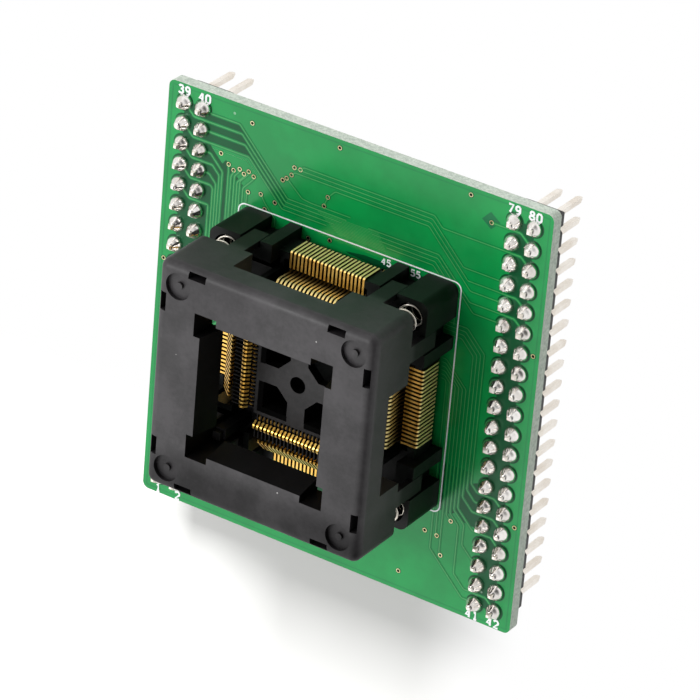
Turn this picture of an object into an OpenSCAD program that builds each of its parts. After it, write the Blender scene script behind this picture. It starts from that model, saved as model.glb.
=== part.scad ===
// Open-top burn-in and test socket for an 80-lead quad flat package,
// soldered on an adapter board with two double-row pin headers.
// Origin: under the board's centre, in the plane of the pin tips. +Z points
// out of the socket's mouth, +Y runs along the pin headers. Millimetres.

/* [Adapter board] */
// Pitch of the header pins
pin_pitch = 2.54; // [2.54:0.01:2.6]
// Pins in one row of a header
pins_per_row = 20; // [12:1:24]
// Distance between the inner pin rows of the two headers, in pitches
inner_rows_apart = 16; // [16:1:20]
// Margin from the outer pins to the board's edge
edge_margin = 2.2225; // [1.8:0.1:4]
// Thickness of the board
board_t = 1.6; // [1.2:0.1:2]
// Corner radius of the board
board_r = 0.8; // [0.5:0.1:3]

/* [Pin headers] */
// Side of a square pin
pin_w = 0.64; // [0.5:0.01:0.66]
// Length of a pin below the board
pin_below = 8.1; // [6:0.1:12]
// Length of a pin above the board
pin_above = 1.5; // [1.2:0.1:2]
// Thickness of a header's insulator
housing_t = 2.5; // [2:0.1:3]
// Width of a header's insulator
housing_w = 4.9; // [4.6:0.1:5.06]
// Height of a solder joint
solder_h = 1.15; // [0.6:0.05:1.3]

/* [Contacts] */
// Pitch of the contacts
contact_pitch = 0.5; // [0.5:0.05:0.55]
// Contacts on one side
contacts_per_side = 20; // [10:2:20]
// Thickness of a contact blank
contact_t = 0.25; // [0.15:0.01:0.25]

/* [Socket] */
// Half width of the base over its corner blocks
base_half = 14.3; // [14.2:0.1:14.6]
// Height of the corner blocks
block_h = 6.3; // [6:0.1:6.4]
// Half width of the push cover
cover_half = 14.15; // [14:0.05:14.2]
// Height of the cover's top face over the board
cover_top = 16.4; // [16.3:0.1:17]
// Height of the cover's skirt at its corners
skirt_h = 7.5; // [7.2:0.1:7.5]
// Thickness of the cover's frame over the side windows
frame_t = 3.7; // [3.4:0.1:3.7]
// Half width of the package opening at the top face
mouth_half = 8.2; // [8:0.1:8.4]
// Stroke of the cover
stroke = 2.2; // [1.8:0.1:2.2]

/* [Hidden] */
$fn = 48;
eps = 0.01;

// board and headers
inner_x = inner_rows_apart * pin_pitch / 2;
outer_x = inner_x + pin_pitch;
row_len = (pins_per_row - 1) * pin_pitch;
board_w = 2 * (outer_x + edge_margin);
board_l = row_len + 2 * edge_margin;
board_z = pin_below;
board_top = pin_below + board_t;
pin_len = board_top + pin_above;
pin_hole_r = 0.51;
pin_fit = 0.01;
header_x = (inner_x + outer_x) / 2;
housing_end = 0.85;
solder_r = 0.88;

// contacts, drawn in the plane (distance from the centre, height over the board)
bank_half = (contacts_per_side - 1) * contact_pitch / 2;
slot_w = contact_t + 0.08;
tail_rows = [7.4, 9.2, 11.0, 12.4];
tail_w = 0.44;
tail_out = 0.9;
tail_hole_r = 0.36;
tail_fillet_r = 0.62;
pivot = [10.9, 3.4];
root_r = 0.34;
root_gap = 0.42;
stem_y = 13.4;
stem_top = 4.35;
stem_foot = 1.2;
pad_top = 8.2;

// base
floor_half = 12.8;
bank_h = 3.95;
bank_w = 6.3;
bank_y = 13.2;
post_x = 7.85;
post_y = 14.25;
post_h = 6.0;
block_x = 10.3;
ledge_y = 13.3;
ledge_z = 5.1;
core_half = 5.3;
core_h = 7.3;
spring_xy = 12.0;
screen_y = 8.4;
screen_end = 11.0;
screen_h = 8.4;
pocket_r = 1.7;
pocket_floor = 1.1;
peg_xy = 11.2;
peg_r = 0.75;

// nest
nest_top = 8.5;
plate_half = 5.45;
comb_in = 6.6;
comb_ridge = 7.25;
comb_out = 8.3;
comb_end = 5.05;
comb_z = 4.0;
comb_top = 8.75;
rib_top = 8.35;
corner_top = 5.6;
arm_clear_z = 4.62;
web_half = 1.15;
window_half = 4.4;
guide_in = 7.45;
guide_out = 8.75;
guide_top = 11.4;

// cover
skirt_z = cover_top - skirt_h;
frame_z = cover_top - frame_t;
window_x = 6.9;
cover_r = 1.1;
mouth_low = 7.55;
notch_in = 6.2;
notch_out = 9.05;
cam_in = 9.26;
cam_out = 9.66;
cam_z = nest_top + stroke - 0.2;
leg_in = 8.05;
leg_out = 10.1;
leg_y = 13.42;
leg_z = 3.8;
slot_y = 13.72;
hook_y = 12.92;
hook_h = 1.2;
recess_r = 1.6;
recess_xy = 11.45;

// springs
spring_r = 1.3;
wire_r = 0.17;
coils = 11;
ring_sides = 6;
rings_per_coil = 8;
spring_z0 = pocket_floor + wire_r;
spring_z1 = cover_top - 2.0 - wire_r;

// Points of an arc about c, from angle a0 to a1 in n steps
function arc(c, r, a0, a1, n = 4) =
    [for (i = [0:n]) let (a = a0 + (a1 - a0) * i / n) c + r * [cos(a), sin(a)]];

// Places the children on a side: 0 north (+Y), 1 east, 2 south, 3 west
module on_side(k) rotate([0, 0, -90 * k]) children();

// Repeats the children on all four sides
module four_sides() for (k = [0:3]) on_side(k) children();

// Extrudes an outline drawn in (distance from the centre, height) to width w along X
module side_section(points, w)
    translate([-w / 2, 0, 0]) rotate([90, 0, 90]) linear_extrude(w) polygon(points);

// Box between two corners
module span(a, b) translate(a) cube(b - a);

// Rounded plate, half width hx and hy, corner radius r
module plate(hx, hy, r, h) {
    translate([-hx + r, -hy, 0]) cube([2 * (hx - r), 2 * hy, h]);
    translate([-hx, -hy + r, 0]) cube([2 * hx, 2 * (hy - r), h]);
    for (x = [-1, 1], y = [-1, 1]) translate([x * (hx - r), y * (hy - r), 0]) cylinder(r = r, h = h);
}

// Square block, half width a and height h, with its top edges and upright corners rounded
module pillow_block(a, h, r) {
    b = a - r;
    plate(a, a, r, h - r);
    translate([-b, -b, 0]) cube([2 * b, 2 * b, h]);
    for (x = [-1, 1], y = [-1, 1]) translate([x * b, y * b, h - r]) sphere(r = r);
    for (s = [-1, 1]) {
        translate([s * b, b, h - r]) rotate([90, 0, 0]) cylinder(r = r, h = 2 * b);
        translate([-b, s * b, h - r]) rotate([0, 90, 0]) cylinder(r = r, h = 2 * b);
    }
}

// Places the children at every pin of a header, side s = -1 west or 1 east
module at_pins(s)
    for (x = [inner_x, outer_x], i = [0:pins_per_row - 1])
        translate([s * x, i * pin_pitch - row_len / 2, 0]) children();

// Places the children at every contact of a side; $row is the row of its tail
module at_contacts(k)
    on_side(k)
        for (i = [0:contacts_per_side - 1])
            let ($row = i % 4) translate([i * contact_pitch - bank_half, 0, 0]) children();

// One square pin with pyramid points at both ends
module pin() {
    flat = pin_w / 4;
    point_h = 0.55;
    outline = [
        [-flat, 0], [flat, 0], [pin_w / 2, point_h], [pin_w / 2, pin_len - point_h / 2],
        [flat, pin_len], [-flat, pin_len], [-pin_w / 2, pin_len - point_h / 2], [-pin_w / 2, point_h]
    ];
    intersection() {
        side_section(outline, pin_w);
        rotate([0, 0, 90]) side_section(outline, pin_w);
    }
}

// Adapter board with plated holes for the pins, the contact tails and two pegs
module circuit_board() color([0.05, 0.45, 0.22])
    difference() {
        translate([0, 0, board_z]) plate(board_w / 2, board_l / 2, board_r, board_t);
        for (s = [-1, 1]) at_pins(s)
            translate([0, 0, board_z - 1]) cylinder(r = pin_hole_r, h = board_t + 2);
        for (k = [0:3]) at_contacts(k)
            translate([0, tail_rows[$row], board_z - 1]) cylinder(r = tail_hole_r, h = board_t + 2);
        for (s = [-1, 1])
            translate([s * peg_xy, s * peg_xy, board_z - 1]) cylinder(r = peg_r + 0.05, h = board_t + 2);
    }

// Insulator of a double-row header, nicked between the pins
module header_housing(s) color([0.06, 0.06, 0.07]) {
    nick = 0.45;
    flat = pin_pitch / 2 - nick;
    side_x = housing_w / 2;
    edge = [for (i = [0:pins_per_row - 1])
        each [[side_x - nick, i * pin_pitch - row_len / 2 - (i == 0 ? housing_end : pin_pitch / 2)],
              [side_x, i * pin_pitch - row_len / 2 - flat],
              [side_x, i * pin_pitch - row_len / 2 + flat]]];
    last = [[side_x - nick, row_len / 2 + housing_end]];
    right = concat(edge, last);
    left = [for (i = [len(right) - 1:-1:0]) [-right[i][0], right[i][1]]];
    translate([s * header_x, 0, board_z - housing_t])
        difference() {
            linear_extrude(housing_t) polygon(concat(right, left));
            for (x = [-1, 1], i = [0:pins_per_row - 1])
                translate([x * pin_pitch / 2, i * pin_pitch - row_len / 2, housing_t / 2])
                    cube([pin_w + 2 * pin_fit, pin_w + 2 * pin_fit, housing_t + 1], center = true);
        }
}

// The square pins of a header
module header_pins(s) color([0.86, 0.82, 0.7]) at_pins(s) pin();

// Hand-soldered joints: a filled barrel and a hollow-sided cone round each pin
module header_solder(s) color([0.8, 0.8, 0.8]) {
    barrel_r = pin_hole_r - pin_fit;
    cone = [
        [0, -board_t], [barrel_r, -board_t], [barrel_r, eps], [solder_r, eps], [solder_r, 0.12],
        [0.76, 0.3], [0.6, 0.55], [0.52, 0.8], [0.5, solder_h - 0.1], [0.44, solder_h], [0, solder_h]
    ];
    at_pins(s)
        difference() {
            translate([0, 0, board_top]) rotate_extrude() polygon(cone);
            translate([0, 0, board_z]) cube([pin_w + 2 * eps, pin_w + 2 * eps, 2 * pin_len], center = true);
        }
}

// Fixed part of a contact: stem, retention bar, lower beam with the lead's seat, and tail
function fixed_outline(tail_y) = concat(
    [[stem_y, stem_foot]],
    arc([stem_y - 0.3, stem_top - 0.3], 0.3, 0, 90),
    [[pivot[0] + root_gap, stem_top]],
    arc(pivot, root_gap, 0, -128, 8),
    [[10.3, 2.95], [6.5, 2.95], [6.35, 3.15]],
    arc([6.25, pad_top - 0.1], 0.1, 0, 90),
    [[6, pad_top], [5.85, pad_top - 0.2], [5.85, 2.3], [tail_y - tail_w / 2, 2.3],
     [tail_y - tail_w / 2, -board_t - tail_out], [tail_y + tail_w / 2, -board_t - tail_out],
     [tail_y + tail_w / 2, 2.3], [12.75, 2.3], [12.9, 2.1], [12.9, stem_foot]]
);

// Moving arm of a contact: root, lever with its cam head, beam and hooked tip
arm_outline = concat(
    [pivot + [-0.25, -0.1], pivot + [0.2, 0.1], [10.84, 4.3]],
    arc([10.1, 6.2], 0.8, 0, 50),
    arc([9.12, 8.04], 0.16, 50, 250, 6),
    [[9.8, 7.35], [9.9, 7.1], [9.92, 5.9], [9.6, 5.5], [7.5, 5.45], [7.2, 5.7], [7.12, 8.3], [7.02, 9.1]],
    arc([6.62, 9.05], 0.42, 20, 150, 6),
    [[5.98, 8.95], [6.06, 8.82], [6.3, 8.85], [6.52, 8.6], [6.6, 8.0], [6.62, 5.2], [7.0, 4.85],
     [9.9, 4.8], [10.25, 4.3]]
);

module contact_bank(k) color([0.83, 0.66, 0.28])
    translate([0, 0, board_top])
        at_contacts(k) side_section(fixed_outline(tail_rows[$row]), contact_t);

module contact_arms(k) color([0.93, 0.75, 0.33])
    translate([0, 0, board_top])
        at_contacts(k)
            translate([-contact_t / 2, 0, 0]) rotate([90, 0, 90])
                linear_extrude(contact_t) {
                    polygon(arm_outline);
                    translate(pivot) circle(r = root_r);
                }

// Fillets that hold the contact tails under the board
module tail_solder(k) color([0.8, 0.8, 0.8]) {
    drop = [[0, 0], [tail_fillet_r, 0], [tail_fillet_r, -0.08], [0.42, -0.3], [0.34, -0.65], [0, -0.7]];
    at_contacts(k)
        translate([0, tail_rows[$row], board_z - eps])
            difference() {
                rotate_extrude() polygon(drop);
                cube([contact_t + 2 * eps, tail_w + 2 * eps, 4], center = true);
            }
}

// One corner of the base: spring block, hook ledges, guide posts and screens at the banks' ends
module base_corner() {
    span([block_x, block_x, 0], [base_half - cover_r, base_half - cover_r, block_h]);
    span([block_x, block_x, 0], [base_half, base_half - cover_r, block_h]);
    span([block_x, block_x, 0], [base_half - cover_r, base_half, block_h]);
    translate([base_half - cover_r, base_half - cover_r, 0]) cylinder(r = cover_r, h = block_h);
    for (m = [0, 1]) mirror([m, -m, 0]) {
        span([bank_w - eps, 12, 0], [post_x, post_y, post_h]);
        span([post_x - eps, 12, ledge_z], [block_x + eps, ledge_y, block_h - 0.4]);
        span([post_x - eps, 12, 0], [block_x + eps, floor_half, block_h - 0.4]);
        span([bank_w - 0.45, screen_y, bank_h - eps], [bank_w + 0.25, screen_end, screen_h]);
    }
}

// Moulded base: floor, core, contact banks and four corners
module socket_base() color([0.07, 0.07, 0.075])
    translate([0, 0, board_top])
        difference() {
            union() {
                span([-floor_half, -floor_half, 0], [floor_half, floor_half, 2.2]);
                span([-core_half, -core_half, 0], [core_half, core_half, core_h]);
                four_sides() {
                    span([-bank_w, 0, 0], [bank_w, floor_half, bank_h]);
                    span([-bank_w, floor_half - eps, stem_foot], [bank_w, bank_y, bank_h]);
                    span([bank_w - eps, bank_w - eps, 0], [block_x, 12.5, bank_h]);
                    base_corner();
                }
                for (s = [-1, 1])
                    translate([s * peg_xy, s * peg_xy, -board_t - 0.4]) cylinder(r = peg_r, h = board_t + 0.9);
            }
            span([-window_half, -window_half, 1.6], [window_half, window_half, core_h + 1]);
            for (k = [0:3]) at_contacts(k)
                span([-slot_w / 2, core_half + 0.2, -1], [slot_w / 2, bank_y + 1, core_h + 1]);
            four_sides() {
                translate([spring_xy, spring_xy, pocket_floor]) cylinder(r = pocket_r, h = block_h);
                span([bank_half + 0.4, 9.4, 2.8], [bank_w - 0.45, 12.3, bank_h + 1]);
                mirror([1, 0, 0]) span([bank_half + 0.4, 9.4, 2.8], [bank_w - 0.45, 12.3, bank_h + 1]);
            }
        }

// Platform under the package: pierced floor, four combs and four corner guides
module nest_plate() color([0.09, 0.09, 0.095])
    translate([0, 0, board_top])
        difference() {
            union() {
                span([-plate_half, -plate_half, core_h], [plate_half, plate_half, nest_top]);
                four_sides() {
                    span([-comb_end, plate_half - eps, core_h], [comb_end, comb_in, rib_top]);
                    span([-comb_end, comb_in - eps, comb_z], [comb_end, comb_out, rib_top]);
                    span([-comb_end, comb_ridge, comb_z], [comb_end, comb_out, comb_top]);
                    for (m = [0, 1]) mirror([m, -m, 0])
                        span([comb_end - 0.1, core_half + 0.02, comb_z], [comb_out, comb_out, corner_top]);
                    span([guide_in, guide_in, comb_z], [guide_out, guide_out, guide_top - 0.6]);
                    translate([guide_in + 0.3, guide_in + 0.3, guide_top - 0.7])
                        cube([guide_out - guide_in - 0.3, guide_out - guide_in - 0.3, 0.7]);
                }
            }
            translate([0, 0, core_h - 1]) cylinder(r = 1.0, h = 3);
            four_sides()
                difference() {
                    span([web_half, web_half, core_h - 1], [window_half, window_half, nest_top + 1]);
                    translate([web_half, web_half, core_h - 2]) rotate([0, 0, 45])
                        cube([2.1, 2.1, 8], center = true);
                }
            for (k = [0:3]) at_contacts(k) {
                span([-slot_w / 2, core_half + 0.2, core_h - 1], [slot_w / 2, comb_in, comb_top + 1]);
                span([-slot_w / 2, comb_in - 0.1, arm_clear_z], [slot_w / 2, comb_out + 1, comb_top + 1]);
            }
        }

// Frame that is pressed down to open the contacts
module push_cover() color([0.2, 0.2, 0.205])
    translate([0, 0, board_top])
        difference() {
            union() {
                intersection() {
                    translate([0, 0, skirt_z]) pillow_block(cover_half, skirt_h, cover_r);
                    union() {
                        translate([0, 0, frame_z + 5]) cube([40, 40, 10], center = true);
                        four_sides() span([window_x, window_x, 0], [20, 20, cover_top]);
                    }
                }
                four_sides() {
                    span([-bank_half - 0.4, cam_in, cam_z], [bank_half + 0.4, cam_out, frame_z + 1]);
                    for (m = [0, 1]) mirror([m, 0, 0]) {
                        span([leg_in, leg_y, leg_z], [leg_out, cover_half, skirt_z + 1]);
                        span([leg_in, hook_y, leg_z], [leg_out, leg_y + eps, leg_z + hook_h]);
                    }
                }
            }
            four_sides() {
                side_section([[-eps, frame_z - 1], [mouth_low, frame_z - 1], [mouth_low, frame_z],
                              [mouth_half, cover_top], [mouth_half, cover_top + 1], [-eps, cover_top + 1]],
                             2 * notch_in);
                span([notch_in - eps, notch_in - eps, 0], [notch_out, notch_out, cover_top + 1]);
                translate([spring_xy, spring_xy, 0]) cylinder(r = pocket_r, h = cover_top - 2.0);
                translate([recess_xy, recess_xy, cover_top - 0.5])
                    difference() {
                        cylinder(r = recess_r, h = 1);
                        cylinder(r = 0.42, h = 0.3);
                    }
                for (m = [0, 1]) mirror([m, 0, 0])
                    span([leg_in - 0.1, hook_y - 0.02, skirt_z - 0.5], [leg_out + 0.1, slot_y, cover_top + 1]);
            }
        }

// Compression spring with closed end coils, swept along its helix
function spring_z(t) =
    let (u = t * coils, span_z = spring_z1 - spring_z0, dead = 2 * wire_r)
    u < 1 ? spring_z0 + dead * u
    : u > coils - 1 ? spring_z1 - dead * (coils - u)
    : spring_z0 + dead + (span_z - 2 * dead) * (u - 1) / (coils - 2);

module spring(x, y) color([0.85, 0.83, 0.76]) {
    n = coils * rings_per_coil;
    points = [for (i = [0:n], j = [0:ring_sides - 1])
        let (a = 360 * coils * i / n, b = 360 * j / ring_sides, r = spring_r + wire_r * cos(b))
        [x * spring_xy + r * cos(a), y * spring_xy + r * sin(a), board_top + spring_z(i / n) + wire_r * sin(b)]];
    skin = [for (i = [0:n - 1], j = [0:ring_sides - 1])
        let (k = (j + 1) % ring_sides, p = i * ring_sides, q = p + ring_sides)
        [p + j, q + j, q + k, p + k]];
    start_cap = [for (j = [0:ring_sides - 1]) j];
    end_cap = [for (j = [ring_sides - 1:-1:0]) n * ring_sides + j];
    polyhedron(points, concat(skin, [start_cap, end_cap]), convexity = 8);
}

circuit_board();
header_housing(-1);  // header_housing_west
header_housing(1);  // header_housing_east
header_pins(-1);  // header_pins_west
header_pins(1);  // header_pins_east
header_solder(-1);  // header_solder_west
header_solder(1);  // header_solder_east
socket_base();
nest_plate();
contact_bank(0);  // contacts_north
contact_bank(1);  // contacts_east
contact_bank(2);  // contacts_south
contact_bank(3);  // contacts_west
contact_arms(0);  // contact_arms_north
contact_arms(1);  // contact_arms_east
contact_arms(2);  // contact_arms_south
contact_arms(3);  // contact_arms_west
tail_solder(0);  // tail_solder_north
tail_solder(1);  // tail_solder_east
tail_solder(2);  // tail_solder_south
tail_solder(3);  // tail_solder_west
push_cover();
spring(1, 1);  // spring_ne
spring(1, -1);  // spring_se
spring(-1, -1);  // spring_sw
spring(-1, 1);  // spring_nw
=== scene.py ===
import math

import bmesh
import bpy
from mathutils import Matrix, Vector


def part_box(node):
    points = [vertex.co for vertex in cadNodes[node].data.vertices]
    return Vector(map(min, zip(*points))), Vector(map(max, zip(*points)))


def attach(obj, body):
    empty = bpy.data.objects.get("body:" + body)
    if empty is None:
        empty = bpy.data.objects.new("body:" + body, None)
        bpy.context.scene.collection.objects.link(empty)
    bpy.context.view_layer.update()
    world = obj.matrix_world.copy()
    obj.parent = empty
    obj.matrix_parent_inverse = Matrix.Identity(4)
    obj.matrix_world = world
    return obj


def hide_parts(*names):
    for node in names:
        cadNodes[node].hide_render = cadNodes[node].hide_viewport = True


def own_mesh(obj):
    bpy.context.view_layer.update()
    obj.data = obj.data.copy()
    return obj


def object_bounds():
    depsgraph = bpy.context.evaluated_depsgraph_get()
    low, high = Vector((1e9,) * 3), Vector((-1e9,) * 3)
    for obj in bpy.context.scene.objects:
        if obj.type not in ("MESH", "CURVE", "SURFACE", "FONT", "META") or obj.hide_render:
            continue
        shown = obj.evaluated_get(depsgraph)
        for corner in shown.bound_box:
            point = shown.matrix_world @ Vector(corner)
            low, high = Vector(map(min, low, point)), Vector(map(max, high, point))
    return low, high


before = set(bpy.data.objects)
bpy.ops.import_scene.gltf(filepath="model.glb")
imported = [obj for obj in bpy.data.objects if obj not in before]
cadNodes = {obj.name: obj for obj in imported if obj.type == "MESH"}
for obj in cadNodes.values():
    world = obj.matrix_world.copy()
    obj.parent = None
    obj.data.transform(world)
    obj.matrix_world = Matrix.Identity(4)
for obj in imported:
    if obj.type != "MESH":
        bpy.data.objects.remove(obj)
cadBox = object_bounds()
mm = 0.001
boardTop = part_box("circuit_board")[1][2]  # upper face of the adapter board
print("frame loaded,", len(cadNodes), "CAD nodes")


def addNode(tree, kind, inputs=None, **settings):
    node = tree.nodes.new(kind)
    for name, value in settings.items():
        setattr(node, name, value)
    for name, value in (inputs or {}).items():
        if isinstance(value, bpy.types.NodeSocket):
            tree.links.new(value, node.inputs[name])
        else:
            node.inputs[name].default_value = value
    return node


def mathNode(tree, operation, a, b=0.0, clamp=False):
    node = addNode(tree, "ShaderNodeMath", operation=operation, use_clamp=clamp)
    for slot, value in zip(node.inputs, (a, b)):
        if isinstance(value, bpy.types.NodeSocket):
            tree.links.new(value, slot)
        else:
            slot.default_value = value
    return node.outputs[0]


def plus(tree, a, b):
    return mathNode(tree, "ADD", a, b)


def times(tree, a, b):
    return mathNode(tree, "MULTIPLY", a, b)


def larger(tree, a, b):
    return mathNode(tree, "MAXIMUM", a, b)


def unsigned(tree, value):
    return mathNode(tree, "ABSOLUTE", value)


def axisParts(tree, vector):
    return addNode(tree, "ShaderNodeSeparateXYZ", {"Vector": vector}).outputs


def normalParts(tree):
    return axisParts(tree, addNode(tree, "ShaderNodeNewGeometry").outputs["Normal"])


def rampMask(tree, value, low, high):
    # 0 at low, 1 at high, eased between
    return addNode(tree, "ShaderNodeMapRange", {"Value": value, "From Min": low, "From Max": high},
                   interpolation_type="SMOOTHSTEP").outputs["Result"]


def mixColour(tree, mask, a, b):
    node = addNode(tree, "ShaderNodeMix", data_type="RGBA")
    for slot, value in ((node.inputs[0], mask), (node.inputs[6], a), (node.inputs[7], b)):
        if isinstance(value, bpy.types.NodeSocket):
            tree.links.new(value, slot)
        elif isinstance(value, (int, float)):
            slot.default_value = value
        else:
            slot.default_value = (*value, 1.0)
    return node.outputs[2]


def tinted(colour, share):
    return tuple(min(1.0, share * c) for c in colour)


def newGroup(name, inputs, outputs):
    # a vector and numbers go in, and numbers come out
    group = bpy.data.node_groups.new(name, "ShaderNodeTree")
    group.interface.new_socket("Vector", in_out="INPUT", socket_type="NodeSocketVector")
    for labels, way in ((inputs, "INPUT"), (outputs, "OUTPUT")):
        for label in labels:
            group.interface.new_socket(label, in_out=way, socket_type="NodeSocketFloat")
    return group, addNode(group, "NodeGroupInput").outputs, addNode(group, "NodeGroupOutput").inputs


def buildGrainGroup():
    # soft mottling and a fine moulded grain
    group, given, out = newGroup("mouldedGrain", ("Mottle Scale", "Grain Scale"), ("Mottle", "Grain"))
    mottle = addNode(group, "ShaderNodeTexNoise", {"Vector": given["Vector"], "Scale": given["Mottle Scale"],
                                                   "Detail": 4.0, "Roughness": 0.6})
    grain = addNode(group, "ShaderNodeTexNoise", {"Vector": given["Vector"], "Scale": given["Grain Scale"],
                                                  "Detail": 2.0, "Roughness": 0.7})
    group.links.new(mottle.outputs[0], out["Mottle"])
    group.links.new(grain.outputs[0], out["Grain"])
    return group


def buildDustGroup():
    # sparse pale specks: a share of small cells carries one dot each
    group, given, out = newGroup("dustSpecks", ("Cells", "Size", "Share"), ("Mask",))
    cells = addNode(group, "ShaderNodeTexVoronoi", {"Vector": given["Vector"], "Scale": given["Cells"]})
    chance = addNode(group, "ShaderNodeSeparateColor", {"Color": cells.outputs["Color"]}).outputs[0]
    isDot = mathNode(group, "LESS_THAN", cells.outputs["Distance"], given["Size"])
    isPicked = mathNode(group, "LESS_THAN", chance, given["Share"])
    group.links.new(times(group, isDot, isPicked), out["Mask"])
    return group


grainGroup = buildGrainGroup()
dustGroup = buildDustGroup()


def newMaterial(name):
    material = bpy.data.materials.new(name)
    material.use_nodes = True
    tree = material.node_tree
    tree.nodes.clear()
    shader = addNode(tree, "ShaderNodeBsdfPrincipled")
    output = addNode(tree, "ShaderNodeOutputMaterial")
    tree.links.new(shader.outputs[0], output.inputs[0])
    place = addNode(tree, "ShaderNodeTexCoord").outputs["Object"]
    return material, tree, shader, place


def addGrain(tree, place, mottleScale, grainScale):
    values = {"Vector": place, "Mottle Scale": mottleScale, "Grain Scale": grainScale}
    outputs = addNode(tree, "ShaderNodeGroup", values, node_tree=grainGroup).outputs
    return outputs["Mottle"], outputs["Grain"]


def addDust(tree, place, cells, size, share):
    values = {"Vector": place, "Cells": cells, "Size": size, "Share": share}
    return addNode(tree, "ShaderNodeGroup", values, node_tree=dustGroup).outputs["Mask"]


def addBump(tree, shader, height, strength, distance):
    bump = addNode(tree, "ShaderNodeBump", {"Height": height, "Strength": strength, "Distance": distance})
    tree.links.new(bump.outputs[0], shader.inputs["Normal"])


# lowShade is painted shade on what lies low on the cover, and darkening clouds its faces
moulding = {
    "cover": {"dark": (0.021, 0.0192, 0.0208), "pale": (0.045, 0.0412, 0.0446), "mottle": 240.0,
              "roughness": 0.44, "dust": 0.02, "bump": 0.3, "shine": 0.5, "lowShade": 0.88, "darkening": 0.24},
    # the base's near-black is partly its own black plastic and partly painted shade of the socket's inside
    "base": {"dark": (0.0010, 0.0015, 0.0011), "pale": (0.0050, 0.0070, 0.0056), "mottle": 420.0,
             "roughness": 0.42, "dust": 0.015, "bump": 0.22, "shine": 0.2},
    "nest": {"dark": (0.011, 0.010, 0.0105), "pale": (0.027, 0.025, 0.026), "mottle": 420.0,
             "roughness": 0.45, "dust": 0.02, "bump": 0.25, "shine": 0.4},
    "header": {"dark": (0.004, 0.004, 0.0045), "pale": (0.014, 0.014, 0.016), "mottle": 500.0,
               "roughness": 0.45, "dust": 0.01, "bump": 0.3, "shine": 0.5},
}
plastic = {
    "grainScale": 6500.0, "fineScale": 1800.0, "speckleScale": 14000.0, "bumpHeight": 0.03 * mm,
    "shadeAndDarkeningTone": (0.0015, 0.0015, 0.0015), "lint": (0.55, 0.54, 0.52), "lintCells": 900.0, "lintSize": 0.09,
    "wallShade": 0.42, "mouthShade": 0.48, "mouthDull": 0.7, "mouthReach": 9.3 * mm,
    "lowFrom": boardTop + 9.4 * mm, "lowTo": boardTop + 7.6 * mm, "lowDull": 0.6,
    "cloudScale": 85.0, "cloudGrain": 400.0, "cloudDarkening": 0.65, "darkeningDull": 1.1,
    "southFrom": -7.5 * mm, "southTo": -11.5 * mm, "southDarkening": 1.8,
    "eastFrom": 8.0 * mm, "eastTo": 12.5 * mm, "eastDarkening": 0.35,
}


def darkeningShare(tree, place, at, darkening):
    # slow clouds over the piece, and more darkening along its south and its east
    cloud = addGrain(tree, place, plastic["cloudScale"], plastic["cloudGrain"])[0]
    clouds = times(tree, rampMask(tree, cloud, 0.42, 0.58), plastic["cloudDarkening"] * darkening)
    south = times(tree, rampMask(tree, at[1], plastic["southFrom"], plastic["southTo"]), plastic["southDarkening"])
    east = times(tree, rampMask(tree, at[0], plastic["eastFrom"], plastic["eastTo"]), plastic["eastDarkening"])
    return mathNode(tree, "ADD", clouds, times(tree, larger(tree, south, east), darkening), clamp=True)


def makeMoulding(name, finish):
    # moulded plastic: painted shade makes walls, the cover's mouth and what lies low darker and duller than
    # upper faces
    material, tree, shader, place = newMaterial(name)
    lowShade, darkening = finish.get("lowShade", 0.0), finish.get("darkening", 0.0)
    mottle, grain = addGrain(tree, place, finish["mottle"], plastic["grainScale"])
    fine, speckle = addGrain(tree, place, plastic["fineScale"], plastic["speckleScale"])
    cloudy = plus(tree, times(tree, mottle, 0.7), times(tree, fine, 0.3))
    body = mixColour(tree, rampMask(tree, cloudy, 0.36, 0.64), finish["dark"], finish["pale"])
    fibre = times(tree, rampMask(tree, speckle, 0.64, 0.8), 0.25)
    body = mixColour(tree, fibre, body, tinted(finish["pale"], 2.0))
    at = axisParts(tree, place)
    isWall = rampMask(tree, unsigned(tree, normalParts(tree)[2]), 0.75, 0.35)
    reach = larger(tree, unsigned(tree, at[0]), unsigned(tree, at[1]))
    isMouth = times(tree, isWall, mathNode(tree, "LESS_THAN", reach, plastic["mouthReach"]))
    isLow = rampMask(tree, at[2], plastic["lowFrom"], plastic["lowTo"])
    darkened = darkeningShare(tree, place, at, darkening)
    # painted shade: walls, the mouth and low faces are darkened towards one dark tone
    shade = plus(tree, times(tree, isWall, plastic["wallShade"]), times(tree, isMouth, plastic["mouthShade"]))
    shade = larger(tree, larger(tree, shade, times(tree, isLow, lowShade)), darkened)
    body = mixColour(tree, shade, body, plastic["shadeAndDarkeningTone"])
    dust = addDust(tree, place, plastic["lintCells"], plastic["lintSize"], finish["dust"])
    body = mixColour(tree, times(tree, dust, 0.6), body, plastic["lint"])
    tree.links.new(body, shader.inputs["Base Color"])
    rough = plus(tree, finish["roughness"] - 0.06, times(tree, mottle, 0.16))
    tree.links.new(rough, shader.inputs["Roughness"])
    dulled = larger(tree, times(tree, isMouth, plastic["mouthDull"]),
                    times(tree, isLow, plastic["lowDull"] * lowShade))
    dulled = larger(tree, dulled, times(tree, darkened, plastic["darkeningDull"]))
    tree.links.new(times(tree, mathNode(tree, "SUBTRACT", 1.0, dulled), finish["shine"]),
                   shader.inputs["Specular IOR Level"])
    addBump(tree, shader, grain, finish["bump"], plastic["bumpHeight"])
    return material


coverPlastic = makeMoulding("coverPlastic", moulding["cover"])
basePlastic = makeMoulding("basePlastic", moulding["base"])
nestPlastic = makeMoulding("nestPlastic", moulding["nest"])
headerPlastic = makeMoulding("headerPlastic", moulding["header"])

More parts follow.
